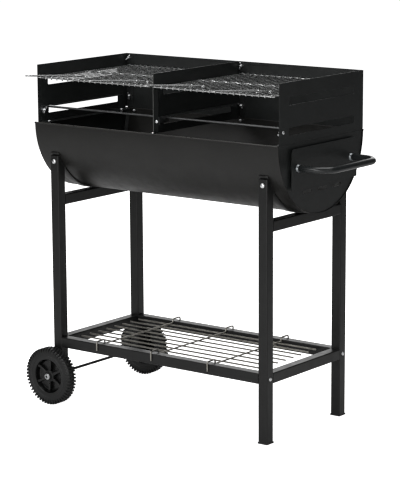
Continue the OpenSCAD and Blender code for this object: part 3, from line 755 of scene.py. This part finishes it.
def wing(build, origin, axis, across, bore=2.55):
    """A wing nut: a tapered boss with two rounded wings along across."""
    axis, across = Vector(axis), Vector(across)
    thick = axis.cross(across)
    origin = Vector(origin)
    boss = [(bore, 0.0), (4.7, 0.0), (4.9, 0.8), (4.0, 6.4), (3.5, 6.8), (bore, 6.8)]
    build.revolve(origin, axis, boss, 24, closed_profile=True)
    for side in (-1, 1):
        outline = [(3.0, 1.2), (5.0, 1.6)]
        for i in range(9):
            a = math.radians(-70 + 25 * i)
            outline.append((8.2 + 3.5 * math.cos(a), 8.6 + 3.5 * math.sin(a)))
        outline.append((3.4, 6.0))
        base = origin - thick * 0.9
        build.prism(outline, base, across * side, axis, thick, 1.8)


WING_X = 412.0
DIVIDER_WING_X = 8.0
WING_Z = (981.0, 865.0)
BACK_IN_Y = 207.75
BACK_OUT_Y = 210.25
SIDE_BOLT_Y, SIDE_BOLT_Z = -178.0, 862.0
PANEL_OUT_X = 425.25
RAIL_TAB_X = 422.4
DIVIDER_BOLT_X = 12.3
PANEL_FRONT_Y = -196.0


def shield_fasteners():
    """Wing nuts and domed bolts that hold the wind shields together."""
    nuts, bolts = Build(), Build()
    tilts = [0.5, 1.9, 1.2, 2.7, 0.2, 1.5]
    places = [(x, z) for x in (-WING_X, DIVIDER_WING_X, WING_X) for z in WING_Z]
    for (x, z), tilt in zip(places, tilts):
        across = (math.cos(tilt) * 0.55, 0, math.sin(tilt))
        across = Vector(across).normalized()
        wing(nuts, (x, BACK_IN_Y, z), (0, -1, 0), across)
        shank(bolts, (x, BACK_IN_Y + 1, z), (0, -1, 0), 2.5, 12.5)
        pan_head(bolts, (x, BACK_OUT_Y, z), (0, 1, 0), 4.75, 2.8)
    for side in (-1, 1):
        wing(nuts, (side * RAIL_TAB_X, SIDE_BOLT_Y, SIDE_BOLT_Z), (-side, 0, 0), Vector((0, 0.6, 0.8)))
        shank(bolts, (side * RAIL_TAB_X, SIDE_BOLT_Y, SIDE_BOLT_Z), (-side, 0, 0), 2.5, 11)
        pan_head(bolts, (side * PANEL_OUT_X, SIDE_BOLT_Y, SIDE_BOLT_Z), (side, 0, 0), 4.75, 2.8)
    pan_head(bolts, (DIVIDER_BOLT_X, PANEL_FRONT_Y - 0.05, SIDE_BOLT_Z), (0, -1, 0), 4.75, 2.8)
    shank(bolts, (DIVIDER_BOLT_X, PANEL_FRONT_Y + 3, SIDE_BOLT_Z), (0, 1, 0), 2.5, 6)
    pan_head(bolts, (6.6, -206.0, 830.8), (0, 0, 1), 4.0, 2.4)
    make_piece("wing_nut_set", nuts, "zinc", "root", ["wing_nuts"], bevel=0.25)
    make_piece("shield_bolt_set", bolts, "zinc", "root", ["shield_bolts"])
    rail_nut = Build()
    hex_shape(rail_nut, (DIVIDER_BOLT_X, PANEL_FRONT_Y + 2.9, SIDE_BOLT_Z), (0, 1, 0), 8, 4, 2.6)
    make_piece("rail_hex_nut", rail_nut, "zinc", "root", ["rail_nut"])


def rim_fasteners():
    """Bolts through the back shield and the trough's back wall, and the screws in the shields' feet."""
    bolts, nuts = Build(), Build()
    rim_bolt_z = 822.0
    for x in (-391.0, DIVIDER_WING_X, 391.0):
        pan_head(bolts, (x, BACK_OUT_Y, rim_bolt_z), (0, 1, 0), 4.75, 2.8)
        shank(bolts, (x, BACK_OUT_Y - 1, rim_bolt_z), (0, -1, 0), 2.5, 15)
        hex_shape(nuts, (x, 203.1, rim_bolt_z), (0, -1, 0), 8, 4, 2.6)
    make_piece("rim_bolt_set", bolts, "zinc", "root", ["rim_bolts"])
    make_piece("rim_nut_set", nuts, "zinc", "root", ["rim_nuts"])
    screws, foot_nuts = Build(), Build()
    for x in (-411.0, 411.0):
        for y in (-164.0, 164.0):
            pan_head(screws, (x, y, 828.3), (0, 0, 1), 4.75, 2.8)
            shank(screws, (x, y, 828.3), (0, 0, -1), 2.5, 12)
            hex_shape(foot_nuts, (x, y, 825.4), (0, 0, -1), 8, 4, 2.6)
    make_piece("foot_screw_set", screws, "zinc", "root", ["foot_screws"])
    make_piece("foot_nut_set", foot_nuts, "zinc", "root", ["foot_screw_nuts"])


def stand_fasteners():
    """Domed bolts through the legs, with their nuts."""
    leg_bolts, leg_nuts = Build(), Build()
    shelf_bolts, shelf_nuts = Build(), Build()
    bolt_z, shelf_z = 717.0, 182.5
    leg_y = LEG_OUT_Y - TUBE / 2
    for sx in (-1, 1):
        for sy in (-1, 1):
            face = sy * (LEG_OUT_Y + 0.05)
            pan_head(leg_bolts, (sx * LEG_X, face, bolt_z), (0, sy, 0), 7.0, 4.3)
            shank(leg_bolts, (sx * LEG_X, face - sy, bolt_z), (0, -sy, 0), 4.0, 33)
            hex_shape(leg_nuts, (sx * LEG_X, sy * 167.0, bolt_z), (0, -sy, 0), 13, 6, 4.05)
            side = sx * (LEG_X + TUBE / 2 + 0.05)
            pan_head(shelf_bolts, (side, sy * leg_y, shelf_z), (sx, 0, 0), 5.5, 3.5)
            shank(shelf_bolts, (side - sx, sy * leg_y, shelf_z), (-sx, 0, 0), 3.0, 37)
            inner = sx * (LEG_X - TUBE / 2 - 0.05)
            hex_shape(shelf_nuts, (inner, sy * leg_y, shelf_z), (-sx, 0, 0), 10, 5, 3.05)
    make_piece("leg_bolt_set", leg_bolts, "zinc", "root", ["leg_bolts"])
    make_piece("leg_nut_set", leg_nuts, "zinc", "root", ["leg_nuts"])
    make_piece("shelf_bolt_set", shelf_bolts, "zinc", "root", ["shelf_bolts"])
    make_piece("shelf_nut_set", shelf_nuts, "zinc", "root", ["shelf_nuts"])


# ---------------------------------------------------------------- trough and handle

TROUGH_R = 206.0
TROUGH_T = 1.5
RIM_Z = 827.0
TROUGH_HALF = 428.5
HEM_R = 2.5


def trough():
    """The rolled half-round sheet with its rims rolled outwards into hems."""
    outline = []
    inner, outer = TROUGH_R - TROUGH_T, TROUGH_R
    arc_steps = 88
    for i in range(arc_steps + 1):
        a = math.pi + math.pi * i / arc_steps
        outline.append((outer * math.cos(a), outer * math.sin(a)))
    outline += [(TROUGH_R + HEM_R * math.cos(a), HEM_R * math.sin(a))
                for a in (math.radians(-75 + 30 * i) for i in range(9))]
    for i in range(arc_steps + 1):
        a = -math.pi * i / arc_steps
        outline.append((inner * math.cos(a), inner * math.sin(a)))
    outline += [(-TROUGH_R + HEM_R * math.cos(a), HEM_R * math.sin(a))
                for a in (math.radians(15 + 30 * i) for i in range(9))]
    build = Build()
    rings = []
    for x in (-TROUGH_HALF, -TROUGH_HALF + 0.4, -140, 140, TROUGH_HALF - 0.4, TROUGH_HALF):
        rings.append([(x, y, RIM_Z + z) for y, z in outline])
    build.rings([[Vector(p) for p in ring] for ring in rings])
    sheet = make_piece("trough_sheet", build, "trough_paint", "root", ["barrel_trough"], smooth=40)
    # The top of the front hem takes the lighter hem paint: a painted highlight.
    sheet.data.materials.append(HEM_HIGHLIGHT_PAINT)
    hem = at((0, -TROUGH_R - HEM_R * 1.4, RIM_Z + HEM_R * 0.25))
    for face in sheet.data.polygons:
        if face.center.z > hem.z and hem.y < face.center.y < hem.y + 6 * MM:
            face.material_index = 1


HANDLE_Z = 760.0
HANDLE_HALF = 128.5
HANDLE_OUT_X = 528.0
HANDLE_START_X = 434.0
HANDLE_R = 9.25
HANDLE_BEND = 49.0
END_MID_Y = 8.0


def push_handle():
    """The U-shaped push bar, bent from one tube."""
    path = []
    path += [(HANDLE_START_X, -HANDLE_HALF, HANDLE_Z), (450, -HANDLE_HALF, HANDLE_Z)]
    for i in range(13):
        a = math.radians(-90 + 90 * i / 12)
        path.append((HANDLE_OUT_X - HANDLE_BEND + HANDLE_BEND * math.cos(a),
                     -HANDLE_HALF + HANDLE_BEND + HANDLE_BEND * math.sin(a), HANDLE_Z))
    path.append((HANDLE_OUT_X, 0, HANDLE_Z))
    for i in range(13):
        a = math.radians(90 * i / 12)
        path.append((HANDLE_OUT_X - HANDLE_BEND + HANDLE_BEND * math.cos(a),
                     HANDLE_HALF - HANDLE_BEND + HANDLE_BEND * math.sin(a), HANDLE_Z))
    path += [(450, HANDLE_HALF, HANDLE_Z), (HANDLE_START_X, HANDLE_HALF, HANDLE_Z)]
    path = [(x, y + END_MID_Y, z) for x, y, z in path]
    build = Build()
    build.tube(path, HANDLE_R, 32)
    make_piece("push_bar", build, "shield_paint", "root", ["push_handle"], HANDLE_PAINT, smooth=50)
    collars = Build()
    for side in (-1, 1):
        profile = [
            (HANDLE_R + 0.05, 0), (11.5, 0), (11.5, 1.2), (10.6, 2.6), (10.2, 5.4), (9.7, 6.0),
            (HANDLE_R + 0.05, 6.0),
        ]
        foot = (HANDLE_START_X, END_MID_Y + side * HANDLE_HALF, HANDLE_Z)
        collars.revolve(foot, (1, 0, 0), profile, 32, closed_profile=True)
    make_piece("handle_collar_set", collars, "zinc", "root", ["handle_collars"], COLLAR_METAL)


# ---------------------------------------------------------------- scene

def soften_sheets():
    """A small round along the edges of the folded sheets, saddles and foot caps that stay as CAD nodes."""
    widths = {
        "windshield_left": 0.4, "windshield_right": 0.4, "windshield_back": 0.4, "divider": 0.4,
        "divider_ledges": 0.4, "handle_shield": 0.6, "end_cap_left": 0.4, "end_cap_right": 0.4,
        "saddle_left": 0.5, "saddle_right": 0.5, "foot_caps": 0.8,
    }
    for node, width in widths.items():
        obj = frame["nodes"][node]
        weld = obj.modifiers.new("weld", "WELD")
        weld.merge_threshold = 1e-5
        add_bevel(obj, width, 2, 40)


def stage():
    """A plain pale floor, soft lights and the camera."""
    world = bpy.context.scene.world or bpy.data.worlds.new("world")
    bpy.context.scene.world = world
    world.use_nodes = True
    tree = world.node_tree
    background = tree.nodes["Background"]
    background.inputs["Color"].default_value = (1, 1, 1, 1)
    path = tree.nodes.new("ShaderNodeLightPath")
    strength = tree.nodes.new("ShaderNodeMapRange")
    strength.inputs["To Min"].default_value = SKY_LIGHT
    strength.inputs["To Max"].default_value = BACKDROP_GLOW
    tree.links.new(path.outputs["Is Camera Ray"], strength.inputs["Value"])
    tree.links.new(strength.outputs["Result"], background.inputs["Strength"])

    mesh = bpy.data.meshes.new("floor")
    reach = 30.0
    mesh.from_pydata([(-reach, -reach, -0.001), (reach, -reach, -0.001), (reach, reach, -0.001),
                      (-reach, reach, -0.001)], [], [[0, 1, 2, 3]])
    floor = bpy.data.objects.new("floor", mesh)
    bpy.context.scene.collection.objects.link(floor)
    material, nodes, links, shader = new_material("floor")
    shader.inputs["Base Color"].default_value = (0.85, 0.85, 0.85, 1)
    shader.inputs["Roughness"].default_value = 0.9
    shader.inputs["Specular IOR Level"].default_value = 0.1
    shader.inputs["Emission Color"].default_value = (1, 1, 1, 1)
    path = nodes.new("ShaderNodeLightPath")
    glow = nodes.new("ShaderNodeMapRange")
    glow.inputs["To Min"].default_value = 0.0
    glow.inputs["To Max"].default_value = BACKDROP_GLOW
    links.new(path.outputs["Is Camera Ray"], glow.inputs["Value"])
    links.new(glow.outputs["Result"], shader.inputs["Emission Strength"])
    mesh.materials.append(material)

    bpy.context.scene.view_settings.view_transform = "Standard"
    for name, place, power, size in LIGHTS:
        add_light(name, place, power, size)
    bpy.context.scene.cycles.pixel_filter_type = "BLACKMAN_HARRIS"
    bpy.context.scene.cycles.filter_width = PIXEL_FILTER
    add_camera()


SKY_LIGHT = 0.06
BACKDROP_GLOW = 1.0
PIXEL_FILTER = 1.3

# name, place in metres, watts, size in metres
LIGHTS = [
    ("key", (-1.4, -3.8, 3.0), 68, 2.2),
    ("front", (0.6, -4.6, 1.3), 57, 2.0),
    ("side", (3.6, -1.2, 1.8), 11, 2.0),
    ("top", (0.2, 0.2, 3.8), 96, 3.0),
    ("low_right", (1.7, -2.3, 0.5), 6, 1.2),
    ("back", (-2.2, 4.2, 1.5), 60, 3.5),
]


def add_light(name, place, power, size):
    light = bpy.data.lights.new(name, "AREA")
    light.energy = power
    light.size = size
    obj = bpy.data.objects.new(name, light)
    obj.location = place
    obj.rotation_mode = "QUATERNION"
    obj.rotation_quaternion = (Vector((0, 0, 0.6)) - Vector(place)).to_track_quat("-Z", "Y")
    obj.visible_camera = False
    bpy.context.scene.collection.objects.link(obj)


AZIMUTH = 37.39
ELEVATION = 11.21
DISTANCE = 5.84875
ROLL = -0.32
LENS = 147.23
TARGET = (21.1, -14.28, 472.99)


def add_camera():
    """The camera: in front and to the right of the grill, a little above its middle."""
    data = bpy.data.cameras.new("camera")
    data.lens = LENS
    data.sensor_width = 36.0
    camera = bpy.data.objects.new("camera", data)
    bpy.context.scene.collection.objects.link(camera)
    azimuth, elevation = math.radians(AZIMUTH), math.radians(ELEVATION)
    back = Vector((
        math.sin(azimuth) * math.cos(elevation),
        -math.cos(azimuth) * math.cos(elevation),
        math.sin(elevation),
    ))
    camera.location = at(TARGET) + back * DISTANCE
    camera.rotation_mode = "QUATERNION"
    turn = (-back).to_track_quat("-Z", "Y")
    camera.rotation_quaternion = turn @ Quaternion((0, 0, 1), math.radians(ROLL))
    data.clip_end = 100
    bpy.context.scene.camera = camera


dress_cad_nodes()
soften_sheets()
trough()
push_handle()
for side in (-1, 1):
    cooking_grate(side)
    grate_grips(side)
    charcoal_grate(side)
    wheel(side)
wire_shelf()
axle_caps()
shield_fasteners()
rim_fasteners()
stand_fasteners()
stage()
